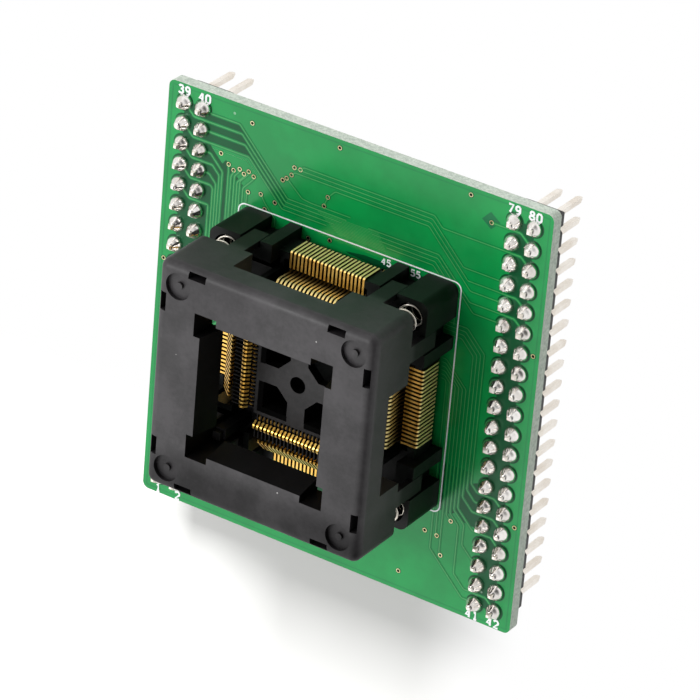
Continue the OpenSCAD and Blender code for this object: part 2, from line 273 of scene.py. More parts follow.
# solder mask over the copper pour, bare laminate, gaps beside runs, runs, the pour's edge and the marker
mask = {
    "pour": {"colour": (0.002, 0.27, 0.056), "shine": 0.55},
    "bare": {"colour": (0.001, 0.075, 0.022), "shine": 0.36},
    "gap": {"colour": (0.001, 0.205, 0.045), "shine": 0.45},
    "run": {"colour": (0.042, 0.33, 0.085), "shine": 0.75},
    "edge": {"colour": (0.001, 0.22, 0.052), "shine": 0.55},
    "marker": {"colour": (0.001, 0.14, 0.045), "shine": 0.55},
}
coat = {
    "mottle": 160.0, "grainScale": 2600.0, "bump": 0.06, "bumpHeight": 0.02 * mm, "roughness": 0.2,
    "sheen": (0.64, 1.0, 0.78), "lint": (0.5, 0.7, 0.56), "lintCells": 430.0, "lintSize": 0.07,
    "lintShare": 0.05,
}
laminate = {
    "pale": (0.70, 0.76, 0.68), "dark": (0.47, 0.54, 0.47), "weaveScale": 2600.0, "fibreScale": 7000.0,
    "extraRoughness": 0.5,
}


def makeMask(name, finish, withSides=False):
    # withSides gives upright faces the pale woven laminate of a board's cut edge
    material, tree, shader, place = newMaterial(name)
    mottle, grain = addGrain(tree, place, coat["mottle"], coat["grainScale"])
    shade = mixColour(tree, rampMask(tree, mottle, 0.3, 0.7), tinted(finish["colour"], 0.88),
                      tinted(finish["colour"], 1.12))
    dust = addDust(tree, place, coat["lintCells"], coat["lintSize"], coat["lintShare"])
    shade = mixColour(tree, times(tree, dust, 0.4), shade, coat["lint"])
    rough = plus(tree, coat["roughness"], times(tree, grain, 0.05))
    if withSides:
        isSide = mathNode(tree, "LESS_THAN", unsigned(tree, normalParts(tree)[2]), 0.5)
        weave, fibres = addGrain(tree, place, laminate["weaveScale"], laminate["fibreScale"])
        woven = plus(tree, times(tree, weave, 0.5), times(tree, fibres, 0.5))
        side = mixColour(tree, rampMask(tree, woven, 0.38, 0.6), laminate["dark"], laminate["pale"])
        shade = mixColour(tree, isSide, shade, side)
        rough = plus(tree, rough, times(tree, isSide, laminate["extraRoughness"]))
    tree.links.new(shade, shader.inputs["Base Color"])
    tree.links.new(rough, shader.inputs["Roughness"])
    shader.inputs["Specular IOR Level"].default_value = finish["shine"]
    shader.inputs["Specular Tint"].default_value = (*coat["sheen"], 1.0)
    addBump(tree, shader, grain, coat["bump"], coat["bumpHeight"])
    return material


boardMask = makeMask("maskOverCopper", mask["pour"], withSides=True)
bareMask = makeMask("maskOverLaminate", mask["bare"])
gapMask = makeMask("maskInGaps", mask["gap"])
runMask = makeMask("maskOverRuns", mask["run"])
edgeMask = makeMask("maskAtEdge", mask["edge"])
markerMask = makeMask("maskAtMarker", mask["marker"])


# bumpHeight follows the slow mottling; dull metals are less than fully metallic
metal = {
    "contact": {"dark": (0.95, 0.52, 0.10), "pale": (1.0, 0.64, 0.16), "roughness": 0.33, "scale": 500.0,
                "bumpHeight": 0.003 * mm, "metallic": 0.75},
    "arm": {"dark": (1.0, 0.54, 0.09), "pale": (1.0, 0.66, 0.16), "roughness": 0.30, "scale": 500.0,
            "bumpHeight": 0.003 * mm, "metallic": 0.75},
    "pin": {"dark": (0.84, 0.77, 0.68), "pale": (0.95, 0.90, 0.83), "roughness": 0.36, "scale": 400.0,
            "bumpHeight": 0.008 * mm, "metallic": 0.85},
    "solder": {"dark": (0.74, 0.70, 0.66), "pale": (0.92, 0.89, 0.86), "roughness": 0.17, "scale": 420.0,
               "bumpHeight": 0.003 * mm, "metallic": 0.95},
    "wire": {"dark": (0.86, 0.80, 0.68), "pale": (0.98, 0.93, 0.84), "roughness": 0.3, "scale": 500.0,
             "bumpHeight": 0.004 * mm, "metallic": 0.7},
    "ring": {"dark": (0.55, 0.53, 0.26), "pale": (0.74, 0.72, 0.42), "roughness": 0.42, "scale": 500.0,
             "bumpHeight": 0.006 * mm, "metallic": 1.0},
}
# the flank colour is painted shade between neighbouring blades, the edge colour a painted highlight, and the
# arm heights mark painted shade low on the arms
blade = {
    "flankShade": (0.035, 0.016, 0.003), "flankShadeShare": 0.92, "flankDull": 0.45,
    "edge": (1.0, 0.86, 0.36), "edgeHighlightShare": 0.8, "edgeHighlightMatt": 0.3,
    "armShadeHeights": (boardTop + 4.2 * mm, boardTop + 6.9 * mm), "armShadeShare": 0.12,
}


def addBladeFaces(tree, shader, place, colour, finish, flatAxis, shadeHeights):
    # painted shade darkens the flanks, across flatAxis, and a painted highlight makes the edges in the north
    # and east banks pale;
    # the shade heights are the two heights between which a blade comes out of painted shade
    facing, at = normalParts(tree), axisParts(tree, place)
    isOuter = mathNode(tree, "GREATER_THAN", at[1 - flatAxis], 0.0)
    isHighlitEdge = times(tree, rampMask(tree, unsigned(tree, facing[1 - flatAxis]), 0.45, 0.85), isOuter)
    isFlank = rampMask(tree, unsigned(tree, facing[flatAxis]), 0.6, 0.85)
    # painted highlight: edges that face out in the north and east banks are paler and less metallic
    colour = mixColour(tree, times(tree, isHighlitEdge, blade["edgeHighlightShare"]), colour, blade["edge"])
    if shadeHeights:
        # painted shade: low on the arms the gold is darkened
        shadedArm = tinted(finish["dark"], blade["armShadeShare"])
        colour = mixColour(tree, rampMask(tree, at[2], *shadeHeights), shadedArm, colour)
    tree.links.new(mathNode(tree, "SUBTRACT", finish["metallic"], times(tree, isHighlitEdge, blade["edgeHighlightMatt"])),
                   shader.inputs["Metallic"])
    tree.links.new(mathNode(tree, "SUBTRACT", 0.5, times(tree, isFlank, blade["flankDull"])),
                   shader.inputs["Specular IOR Level"])
    # painted shade: the flanks between neighbouring blades are darkened
    return mixColour(tree, times(tree, isFlank, blade["flankShadeShare"]), colour, blade["flankShade"])


def makeMetal(name, finish, flatAxis=None, shadeHeights=None):
    material, tree, shader, place = newMaterial(name)
    mottle, grain = addGrain(tree, place, finish["scale"], 4 * finish["scale"])
    colour = mixColour(tree, rampMask(tree, mottle, 0.35, 0.65), finish["dark"], finish["pale"])
    shader.inputs["Metallic"].default_value = finish["metallic"]
    if flatAxis is not None:
        colour = addBladeFaces(tree, shader, place, colour, finish, flatAxis, shadeHeights)
    rough = plus(tree, finish["roughness"] - 0.03, times(tree, grain, 0.06))
    tree.links.new(colour, shader.inputs["Base Color"])
    tree.links.new(rough, shader.inputs["Roughness"])
    addBump(tree, shader, mottle, 0.5, finish["bumpHeight"])
    return material


contactGoldX = makeMetal("contactGoldX", metal["contact"], 0)
contactGoldY = makeMetal("contactGoldY", metal["contact"], 1)
armGoldX = makeMetal("armGoldX", metal["arm"], 0, blade["armShadeHeights"])
armGoldY = makeMetal("armGoldY", metal["arm"], 1, blade["armShadeHeights"])
pinMetal = makeMetal("pinMetal", metal["pin"])
solderMetal = makeMetal("solderMetal", metal["solder"])
springWire = makeMetal("springWire", metal["wire"])
ringGold = makeMetal("ringGold", metal["ring"])

paint = {
    "silk": {"colour": (0.93, 0.95, 0.97), "roughness": 0.5, "shine": 0.5},
    "hole": {"colour": (0.002, 0.002, 0.002), "roughness": 0.8, "shine": 0.04},
}


def makePaint(name, finish):
    material, tree, shader, place = newMaterial(name)
    mottle, grain = addGrain(tree, place, 900.0, 5200.0)
    thin = tinted(finish["colour"], 0.82)
    rough = plus(tree, finish["roughness"], times(tree, mottle, 0.1))
    tree.links.new(mixColour(tree, rampMask(tree, grain, 0.25, 0.5), thin, finish["colour"]),
                   shader.inputs["Base Color"])
    tree.links.new(rough, shader.inputs["Roughness"])
    shader.inputs["Specular IOR Level"].default_value = finish["shine"]
    addBump(tree, shader, grain, 0.2, 0.02 * mm)
    return material


silkInk = makePaint("silkInk", paint["silk"])
paintedHoleShade = makePaint("paintedHoleShade", paint["hole"])
print("materials made")


# the north and south blades are flat across X, the east and west ones across Y
nodeFinish = {
    "circuit_board": boardMask, "header_housing": headerPlastic, "header_pins": pinMetal,
    "header_solder": solderMetal, "tail_solder": solderMetal, "socket_base": basePlastic,
    "nest_plate": nestPlastic, "push_cover": coverPlastic, "spring": springWire,
    "contacts_north": contactGoldX, "contacts_south": contactGoldX,
    "contacts_east": contactGoldY, "contacts_west": contactGoldY,
    "contact_arms_north": armGoldX, "contact_arms_south": armGoldX,
    "contact_arms_east": armGoldY, "contact_arms_west": armGoldY,
}
for nodeName, cadObject in cadNodes.items():
    stem = max((s for s in nodeFinish if nodeName.startswith(s)), key=len)
    cadObject.data.materials.clear()
    cadObject.data.materials.append(nodeFinish[stem])


def newObject(name, data, material=None):
    made = bpy.data.objects.new(name, data)
    bpy.context.scene.collection.objects.link(made)
    if material:
        made.data.materials.append(material)
    return made


def meshFrom(name, vertices, edges=(), faces=()):
    mesh = bpy.data.meshes.new(name)
    mesh.from_pydata([tuple(v) for v in vertices], list(edges), list(faces))
    mesh.update()
    return mesh


def newTree(name, *numbers):
    # geometry, numbers and a material go in, and geometry comes out
    tree = bpy.data.node_groups.new(name, "GeometryNodeTree")
    for label, kind in (("Geometry", "Geometry"), *numbers, ("Material", "Material")):
        tree.interface.new_socket(label, in_out="INPUT", socket_type="NodeSocket" + kind)
    tree.interface.new_socket("Geometry", in_out="OUTPUT", socket_type="NodeSocketGeometry")
    return tree, addNode(tree, "NodeGroupInput").outputs, addNode(tree, "NodeGroupOutput")


def closeTree(tree, out, geometry, material):
    real = addNode(tree, "GeometryNodeRealizeInstances", {"Geometry": geometry})
    painted = addNode(tree, "GeometryNodeSetMaterial", {"Geometry": real.outputs[0], "Material": material})
    tree.links.new(painted.outputs[0], out.inputs[0])


def runTree(name, tree, startMesh, values, body="base", smooth=True):
    # evaluates the tree on a start mesh and keeps the result as a plain mesh
    start = newObject("start_" + name, startMesh)
    modifier = start.modifiers.new("build", "NODES")
    modifier.node_group = tree
    for item in tree.interface.items_tree:
        if item.in_out == "INPUT" and item.name in values:
            modifier[item.identifier] = values[item.name]
    bpy.context.view_layer.update()
    done = bpy.data.meshes.new_from_object(start.evaluated_get(bpy.context.evaluated_depsgraph_get()))
    bpy.data.objects.remove(start)
    made = newObject(name, done)
    made.data.name = name
    for polygon in done.polygons:
        polygon.use_smooth = smooth
    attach(made, body)
    return made


def addBand(tree, curve, width, height):
    # a flat band along a curve, level all the way
    upright = addNode(tree, "GeometryNodeSetCurveNormal", {"Curve": curve}, mode="Z_UP")
    profile = addNode(tree, "GeometryNodeCurvePrimitiveQuadrilateral", {"Width": width, "Height": height},
                      mode="RECTANGLE")
    values = {"Curve": upright.outputs[0], "Profile Curve": profile.outputs[0], "Fill Caps": True}
    return addNode(tree, "GeometryNodeCurveToMesh", values).outputs[0]


def buildStripTree():
    tree, given, out = newTree("flatStrips", ("Width", "Float"), ("Thickness", "Float"))
    runs = addNode(tree, "GeometryNodeMeshToCurve", {"Mesh": given["Geometry"]})
    strips = addBand(tree, runs.outputs[0], given["Width"], given["Thickness"])
    closeTree(tree, out, strips, given["Material"])
    return tree


stripTree = buildStripTree()


def cornerCut(points, reach=0.12):
    # trims each corner of a run so that a strip keeps its width round it
    trimmed = [points[0]]
    for before, here, after in zip(points, points[1:], points[2:]):
        for other in (before, after):
            away = Vector(other) - Vector(here)
            trimmed.append(tuple(Vector(here) + away.normalized() * min(reach, away.length / 3)))
    return trimmed + [points[-1]]


# heights over the board's face in mm; strips start a little under it
layer = {
    "sunk": -0.01, "zone": 0.004, "marker": 0.006, "edge": 0.008, "padGap": 0.0085, "runGap": 0.012,
    "viaGap": 0.012, "island": 0.0135, "ringMiddle": 0.015, "viaHole": 0.02, "hair": 0.024, "run": 0.030,
    "print": 0.040, "smallPrint": 0.042, "nestLow": 8.49, "nestHigh": 8.506,
}
# neighbours lie a hair apart in height, so that their faces never coincide
stagger = {"levels": 9, "run": 0.0007, "plate": 0.0005}


def runMesh(name, runs, height, trim=True):
    vertices, edges = [], []
    for number, run in enumerate(runs):
        level = height + (number % stagger["levels"]) * stagger["run"] * mm
        closed = run[0] == run[-1] and len(run) > 3
        points = cornerCut(run) if trim and not closed else list(run[:-1] if closed else run)
        first = len(vertices)
        vertices += [(x * mm, y * mm, level) for x, y in points]
        edges += [(first + i, first + i + 1) for i in range(len(points) - 1)]
        if closed:
            edges.append((len(vertices) - 1, first))
    return meshFrom(name, vertices, edges)


def makeStrips(name, runs, width, high, material, trim=True):
    # flat strips along runs in mm, on the board
    low = layer["sunk"]
    startMesh = runMesh(name, runs, boardTop + (low + high) / 2 * mm, trim)
    values = {"Width": width * mm, "Thickness": (high - low) * mm, "Material": material}
    return runTree(name, stripTree, startMesh, values, smooth=False)


def makePlates(name, outlines, low, high, material):
    # flat closed plates from outlines in mm
    mesh = bpy.data.meshes.new(name)
    work = bmesh.new()
    for number, outline in enumerate(outlines):
        step = (number % stagger["levels"]) * stagger["plate"] * mm
        lower = [work.verts.new((x * mm, y * mm, boardTop + low * mm)) for x, y in outline]
        face = work.faces.new(lower)
        face.normal_update()
        if face.normal.z > 0:
            face.normal_flip()
        lifted = bmesh.ops.extrude_face_region(work, geom=[face])
        bmesh.ops.translate(work, vec=(0, 0, (high - low) * mm + step),
                            verts=[v for v in lifted["geom"] if isinstance(v, bmesh.types.BMVert)])
    bmesh.ops.triangulate(work, faces=[f for f in work.faces if len(f.verts) > 4])
    bmesh.ops.recalc_face_normals(work, faces=work.faces)
    work.to_mesh(mesh)
    work.free()
    made = newObject(name, mesh, material)
    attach(made, "base")
    return made


def discOutline(x, y, radius, count=28):
    return [(x + radius * math.cos(2 * math.pi * i / count), y + radius * math.sin(2 * math.pi * i / count))
            for i in range(count)]


header = {"pitch": 2.54, "pins": 20, "innerX": 20.32, "outerX": 22.86, "clearance": 1.15}
rowY = [(header["pins"] - 1) * header["pitch"] / 2 - i * header["pitch"] for i in range(header["pins"])]
contact = {"count": 20, "pitch": 0.5, "firstAt": 4.75}
contactAt = [contact["firstAt"] - contact["pitch"] * i for i in range(contact["count"])]
inner, outer = header["innerX"], header["outerX"]
west = {"outerTurn": -21.5, "innerTurn": -19.0, "outerDrop": 1.36, "fanX": -18.75, "fanSlope": 0.9,
        "footX": -13.6, "endX": -12.9, "bendShare": 0.35, "fanShare": 0.5}


def intoFoot(laneX, footY, share):
    # the last bend, from a lane in to a west contact
    reach = (west["footX"] - laneX) * share
    return [(laneX, footY + reach), (laneX + reach, footY), (west["endX"], footY)]


def westDown(row, column, lane, side):
    # from a west pin down a lane beside the socket
    y = rowY[row]
    laneX, footY = lane
    if column == "outer":
        out = y - west["outerDrop"]
        bend = out - abs(laneX - west["fanX"]) * west["fanSlope"]
        run = [(-outer, y), (west["outerTurn"], out), (laneX - (out - bend), out), (laneX, bend)]
    else:
        run = [(-inner, y), (west["innerTurn"], y), (laneX, y - (laneX - west["innerTurn"]))]
    return [(x, side * yy) for x, yy in run + intoFoot(laneX, footY, west["bendShare"])]


northRuns = [
    [(-inner, 24.05), (-19.9, 23.85), (-15.4, 23.85), (-8.5, 16.95), (-0.7, 16.95)],
    [(-outer, 24.1), (-21.5, 22.75), (-15.0, 22.75), (-8.7, 16.45), (-1.25, 16.45)],
    [(-inner, 21.59), (-14.5, 21.55), (-8.9, 15.95), (-2.2, 15.95)],
    [(-outer, 21.59), (-21.5, 20.25), (-13.9, 20.25), (-9.1, 15.45), (-3.2, 15.45)],
    [(-12.0, 16.3), (-11.4, 15.4), (-9.9, 13.9), (-9.9, 13.0)],
    [(-8.8, 19.4), (-6.6, 17.6), (-5.4, 17.45), (-0.2, 17.45)],
    [(-3.3, 18.9), (-3.7, 17.75)],
    [(17.5, 23.0), (21.2, 23.0), (outer, 21.59)],
    [(-7.1, 21.0), (-6.7, 21.4), (10.4, 21.4), (11.55, 20.25), (21.5, 20.25), (outer, 19.05)],
    [(-7.9, 21.0), (-7.8, 20.9), (10.2, 20.9), (14.6, 16.51), (inner, 16.51)],
    [(-8.2, 20.0), (-7.8, 20.4), (10.0, 20.4), (15.3, 15.1), (21.5, 15.1), (outer, 13.97)],
    [(-3.3, 18.9), (-2.4, 19.9), (9.8, 19.9), (15.75, 13.97), (inner, 13.97)],
    [(2.2, 16.95), (11.4, 16.95), (15.8, 12.6), (21.5, 12.6), (outer, 11.43)],
    [(2.75, 16.45), (11.3, 16.45), (16.35, 11.43), (inner, 11.43)],
    [(3.7, 15.95), (11.0, 15.95), (14.6, 12.35), (14.6, 9.6)],
    [(4.7, 15.45), (10.8, 15.45), (14.1, 12.15), (14.1, 9.2)],
]
# each lane, its south end and the way on from there
eastLanes = [
    (18.3, -9.3, [(19.15, -10.15), (21.4, -10.15), (outer, -11.43)]),
    (17.84, -10.3, [(18.97, -11.43), (inner, -11.43)]),
    (17.38, -11.4, [(18.75, -12.77), (21.5, -12.77), (outer, -13.97)]),
    (16.92, -13.0, [(19.05, -15.13), (21.5, -15.13), (outer, -16.51)]),
    (16.46, -13.4, [(17.9, -14.84), (17.9, -17.4), (19.55, -19.05), (inner, -19.05)]),
    (16.0, -14.0, [(17.2, -15.2), (17.2, -21.4), (18.7, -22.9), (21.6, -22.9), (outer, -24.05)]),
    (15.54, -14.4, [(16.2, -15.05)]),
    (15.08, -19.4, [(15.3, -19.8)]),
    (14.4, -17.1, [(14.6, -17.5)]),
    (13.85, -19.4, [(18.55, -24.1), (inner, -24.1)]),
]
# the upper ones start over the bank, the others at its contacts
east = {"upper": 4, "upperX": 12.6, "upperY": 9.4, "upperBend": 15.9, "bendStep": 0.2,
        "footX": 13.1, "bendX": 13.6}
eastRuns = []
for laneIndex, (laneX, endY, onward) in enumerate(eastLanes):
    if laneIndex < east["upper"]:
        startX, bendX = east["upperX"], east["upperBend"] - east["bendStep"] * laneIndex
        y = east["upperY"] - contact["pitch"] * laneIndex
    else:
        startX, bendX, y = east["footX"], east["bendX"], contactAt[laneIndex - east["upper"]]
    eastRuns.append([(startX, y), (bendX, y), (laneX, y - (laneX - bendX)), (laneX, endY)] + onward)
westLanes = [(-17.25, 1.75), (-17.65, 1.25), (-18.02, 0.75), (-18.4, 0.25), (-18.85, -0.25)]
westPins = [(2, "inner"), (2, "outer"), (3, "inner"), (3, "outer"), (4, "outer")]
westRuns = [westDown(row, column, lane, side) for side in (1, -1)
            for (row, column), lane in zip(westPins, westLanes) if side == 1 or lane[1] > 0.5]
viaFan = [(-16.5, 18.5, -16.45), (-15.8, 18.0, -16.07), (-15.0, 18.4, -15.62),
          (-14.4, 18.0, -15.22), (-13.8, 18.5, -14.84), (-13.1, 18.1, -14.4)]
fan = {"stub": 0.35, "leastDrop": 0.45, "slope": 1.15, "firstFoot": 2.25}
for fanIndex, (viaX, viaY, laneX) in enumerate(viaFan):
    stubY = viaY - fan["stub"]
    drop = max(fan["leastDrop"], abs(laneX - viaX) * fan["slope"])
    foot = intoFoot(laneX, fan["firstFoot"] + contact["pitch"] * fanIndex, west["fanShare"])
    westRuns.append([(viaX, viaY), (viaX, stubY), (laneX, stubY - drop)] + foot)
westRuns.append([(-13.7, 16.0), (-13.85, 15.6), (-13.85, 6.0), (-13.3, 5.45), (-12.9, 5.45)])
southRuns = [
    [(-inner, -24.1), (-18.4, -24.1), (-10.0, -15.7), (-4.25, -15.7), (-3.75, -15.2), (-3.75, -13.0)],
    [(-inner, -21.59), (-18.6, -21.59), (-12.2, -15.2), (-5.0, -15.2), (-4.25, -14.5), (-4.25, -13.0)],
    [(-outer, -21.59), (-21.5, -20.25), (-18.9, -20.25), (-13.4, -14.75), (-6.0, -14.75), (-4.75, -13.5),
     (-4.75, -13.0)],
]
allRuns = northRuns + eastRuns + westRuns + southRuns

# bare laminate under the mask, and a band of painted shade beside the north bank
darkZones = [
    [(-outer, 24.0), (-19.9, 23.85), (-15.4, 23.85), (-8.5, 16.95), (-9.1, 15.45), (-13.9, 20.25),
     (-22.0, 20.25)],
    [(-22.4, 20.5), (-19.1, 20.15), (-18.8, 19.7), (-17.35, 18.3), (-16.9, 18.9), (-16.4, 18.4),
     (-14.3, 16.4), (-14.3, 3.0), (-16.1, -0.6), (-16.1, -2.6), (-19.3, -3.0), (-22.4, -3.0)],
    [(-4.6, -15.5), (-2.2, -16.9), (-0.6, -16.9), (-0.6, -18.4), (-2.6, -18.4), (-7.0, -15.5)],
    [(18.4, -8.0), (18.45, -9.4), (17.1, -13.2), (16.1, -14.2), (13.85, -14.0), (13.85, -8.0)],
    [(18.4, -9.3), (20.8, -8.2), (21.4, -10.7), (19.8, -14.7), (17.6, -14.5), (16.8, -13.5), (17.6, -11.5)],
    [(outer, 24.3), (inner, 24.3), (inner, -24.3), (outer, -24.3)],
    [(-inner, 24.3), (-outer, 24.3), (-outer, -24.3), (-inner, -24.3)],
    # painted shade: the board in the shadow of the north bank
    [(-0.45, 13.22), (2.0, 13.58), (9.6, 13.62), (9.6, 12.8), (2.8, 12.8), (0, 13.05)],
]
pourIslands = [
    [(-18.75, 19.72), (-14.15, 19.72), (-12.55, 18.25), (-13.1, 18.7), (-13.75, 19.05), (-14.4, 18.6),
     (-15.0, 18.95), (-15.8, 18.6), (-16.45, 19.1), (-17.1, 18.85), (-17.45, 18.45)],
]
markerOutline = [(17.3, 24.25), (18.6, 23.3), (17.5, 22.2), (16.25, 23.1)]
padPlaces = [(side * x, y) for side in (-1, 1) for x in (inner, outer) for y in rowY]
padDiscs = [discOutline(x, y, header["clearance"]) for x, y in padPlaces]
hair = {"count": 12, "pitch": 0.17, "top": 16.8, "left": -4.4, "leftStep": 0.25, "right": 3.6,
        "rightStep": 0.1}
hairRuns = []
for i in range(hair["count"]):
    y = hair["top"] - hair["pitch"] * i
    hairRuns.append([(hair["left"] + hair["leftStep"] * i, y), (hair["right"] + hair["rightStep"] * i, y)])
copper = {"runWidth": 0.125, "gapWidth": 0.40, "hairWidth": 0.05, "edgeWidth": 0.2, "edgeInset": 0.5}
edgeX, edgeY = cadBox[1][0] / mm - copper["edgeInset"], cadBox[1][1] / mm - copper["edgeInset"]
edgeLine = [(-edgeX, -edgeY), (edgeX, -edgeY), (edgeX, edgeY), (-edgeX, edgeY), (-edgeX, -edgeY)]

makePlates("laminateZones", darkZones, 0.0, layer["zone"], bareMask)
makePlates("padClearances", padDiscs, 0.0, layer["padGap"], bareMask)
makePlates("markerGap", [markerOutline], 0.0, layer["marker"], markerMask)
makeStrips("runClearances", allRuns, copper["gapWidth"], layer["runGap"], gapMask)
makePlates("pourIslands", pourIslands, 0.0, layer["island"], boardMask)
makeStrips("copperRuns", allRuns, copper["runWidth"], layer["run"], runMask)
makeStrips("hairRuns", hairRuns, copper["hairWidth"], layer["hair"], runMask)
makeStrips("pourEdge", [edgeLine], copper["edgeWidth"], layer["edge"], edgeMask)
print("copper runs laid")


via = {"ringRadius": 0.265, "holeRadius": 0.185, "clearance": 0.34, "height": 0.04, "holeLap": 0.01}
viaPlaces = [(x, y) for x, y, _ in viaFan] + [
    (-13.7, 16.0), (-12.0, 16.3), (-10.1, 15.9), (-13.8, 24.5), (-17.6, 19.5), (-9.3, 19.0), (-8.8, 19.4),
    (-8.2, 20.0), (-7.9, 21.0), (-7.1, 21.0), (-3.3, 18.9), (-3.7, 17.7), (-11.36, 14.63), (-5.4, 13.1),
    (-2.6, 13.8), (17.5, 23.0), (14.64, 25.4), (-2.3, 25.33), (13.0, -17.4), (14.6, -17.5), (15.3, -19.8),
    (16.2, -15.0), (10.1, -23.9), (24.3, -12.7), (-10.5, -19.0), (-3.0, -22.5), (4.5, -17.2), (-24.3, 4.0),
    (24.3, 9.0),
]


def buildViaTree():
    tree, given, out = newTree("platedVias", ("Ring Radius", "Float"), ("Hole Radius", "Float"),
                               ("Height", "Float"))
    rim, bore = given["Ring Radius"], given["Hole Radius"]
    circle = addNode(tree, "GeometryNodeCurvePrimitiveCircle",
                     {"Radius": times(tree, plus(tree, rim, bore), 0.5), "Resolution": 16})
    ring = addBand(tree, circle.outputs[0], mathNode(tree, "SUBTRACT", rim, bore), given["Height"])
    points = addNode(tree, "GeometryNodeMeshToPoints", {"Mesh": given["Geometry"]})
    placed = addNode(tree, "GeometryNodeInstanceOnPoints", {"Points": points.outputs[0], "Instance": ring})
    closeTree(tree, out, placed.outputs[0], given["Material"])
    return tree


viaTree = buildViaTree()
viaPoints = [(x * mm, y * mm, boardTop + layer["ringMiddle"] * mm) for x, y in viaPlaces]
viaGaps = [discOutline(x, y, via["clearance"], 20) for x, y in viaPlaces]
viaHoles = [discOutline(x, y, via["holeRadius"] + via["holeLap"], 16) for x, y in viaPlaces]
makePlates("viaClearances", viaGaps, 0.0, layer["viaGap"], bareMask)
runTree("viaRings", viaTree, meshFrom("viaPoints", viaPoints),
        {"Ring Radius": via["ringRadius"] * mm, "Hole Radius": via["holeRadius"] * mm,
         "Height": via["height"] * mm, "Material": ringGold}, smooth=False)
# painted shade: black discs stand for the dark inside the open bores
makePlates("viaHoles", viaHoles, 0.0, layer["viaHole"], paintedHoleShade)
print("vias set")


silk = {"left": -14.75, "right": 14.62, "top": 14.45, "bottom": -14.6, "radius": 0.9, "line": 0.15,
        "digitHeight": 0.93, "digitWidth": 0.56, "digitGap": 0.34, "stroke": 0.26, "smallScale": 0.78,
        "smallStroke": 0.18}


def roundedRun(left, bottom, right, top, radius, steps=8):
    run = []
    for cx, cy, start in ((right - radius, top - radius, 0), (left + radius, top - radius, 90),
                          (left + radius, bottom + radius, 180), (right - radius, bottom + radius, 270)):
        for i in range(steps + 1):
            a = math.radians(start + 90 * i / steps)
            run.append((cx + radius * math.cos(a), cy + radius * math.sin(a)))
    return run + [run[0]]


# plain stroke digits in a box one wide and one high
digitStrokes = {
    "0": [[(0.25, 0), (0.75, 0), (1, 0.2), (1, 0.8), (0.75, 1), (0.25, 1), (0, 0.8), (0, 0.2), (0.25, 0)]],
    "1": [[(0.25, 0.8), (0.6, 1), (0.6, 0)], [(0.25, 0), (0.95, 0)]],
    "2": [[(0, 0.8), (0.25, 1), (0.75, 1), (1, 0.8), (1, 0.6), (0, 0), (1, 0)]],
    "3": [[(0, 0.85), (0.25, 1), (0.75, 1), (1, 0.8), (0.75, 0.55), (0.4, 0.55)],
          [(0.75, 0.55), (1, 0.35), (1, 0.18), (0.75, 0), (0.25, 0), (0, 0.15)]],
    "4": [[(0.75, 0), (0.75, 1)], [(0.7, 1), (0, 0.32), (1, 0.32)]],
    "5": [[(0.95, 1), (0.1, 1), (0.05, 0.58), (0.7, 0.62), (1, 0.4), (1, 0.2), (0.7, 0), (0.25, 0),
           (0, 0.15)]],
    "7": [[(0, 1), (1, 1), (0.35, 0)]],
    "8": [[(0.5, 0.54), (0.1, 0.68), (0.1, 0.86), (0.3, 1), (0.7, 1), (0.9, 0.86), (0.9, 0.68), (0.5, 0.54)],
          [(0.5, 0.52), (0, 0.36), (0, 0.16), (0.25, 0), (0.75, 0), (1, 0.16), (1, 0.36), (0.5, 0.52)]],
    "9": [[(0.95, 0.6), (0.7, 0.45), (0.3, 0.45), (0.05, 0.6), (0.05, 0.84), (0.3, 1), (0.7, 1), (0.95, 0.84),
           (0.95, 0.6)], [(0.95, 0.55), (0.95, 0.3), (0.65, 0.0), (0.2, 0.0)]],
}


def numberRuns(text, centreX, centreY, scale=1.0):
    width, height = silk["digitWidth"] * scale, silk["digitHeight"] * scale
    advance = width + silk["digitGap"] * scale
    left = centreX - (advance * (len(text) - 1) + width) / 2
    return [[(left + i * advance + x * width, centreY + (y - 0.5) * height) for x, y in stroke]
            for i, digit in enumerate(text) for stroke in digitStrokes[digit]]


printedNumbers = [("39", -23.0, 25.55), ("40", -20.25, 25.45), ("79", 20.15, 25.54), ("80", 22.83, 25.53),
                  ("1", -22.95, -25.75), ("2", -20.2, -25.75), ("41", 20.05, -25.7), ("42", 22.84, -25.7)]
smallNumbers = [("45", 4.85, 13.68), ("55", 8.7, 13.62)]
digitRuns = [run for text, x, y in printedNumbers for run in numberRuns(text, x, y)]
smallRuns = [run for text, x, y in smallNumbers for run in numberRuns(text, x, y, silk["smallScale"])]
outlineRun = roundedRun(silk["left"], silk["bottom"], silk["right"], silk["top"], silk["radius"])
makeStrips("silkOutline", [outlineRun], silk["line"], layer["print"], silkInk, trim=False)
makeStrips("silkNumbers", digitRuns, silk["stroke"], layer["print"], silkInk, trim=False)
makeStrips("silkSmallNumbers", smallRuns, silk["smallStroke"], layer["smallPrint"], silkInk, trim=False)
print("print laid")


joint = {"footRadius": 0.98, "height": 1.36, "topRadius": 0.47, "crown": 0.02, "seed": 7,
         "wobble": 0.045, "noiseScale": 400.0, "rise": 1400.0, "push": 2.6,
         "turns": ((0.0, 0.0, 0.0), (0.0, 0.0, 6.283)), "sizes": ((0.93, 0.93, 0.86), (1.04, 1.04, 1.08))}


def jointProfile():
    # radius and height from the pad's edge up to the pin's tip
    foot, top, high = joint["footRadius"], joint["topRadius"], joint["height"]
    return [(foot, 0.0), (foot * 0.99, 0.14), (foot * 0.95, 0.32), (foot * 0.87, 0.50), (foot * 0.76, 0.67),
            (foot * 0.65, 0.83), (foot * 0.56, 0.98), (top * 0.94, high - 0.18), (top * 0.72, high - 0.06),
            (top * 0.36, high)]


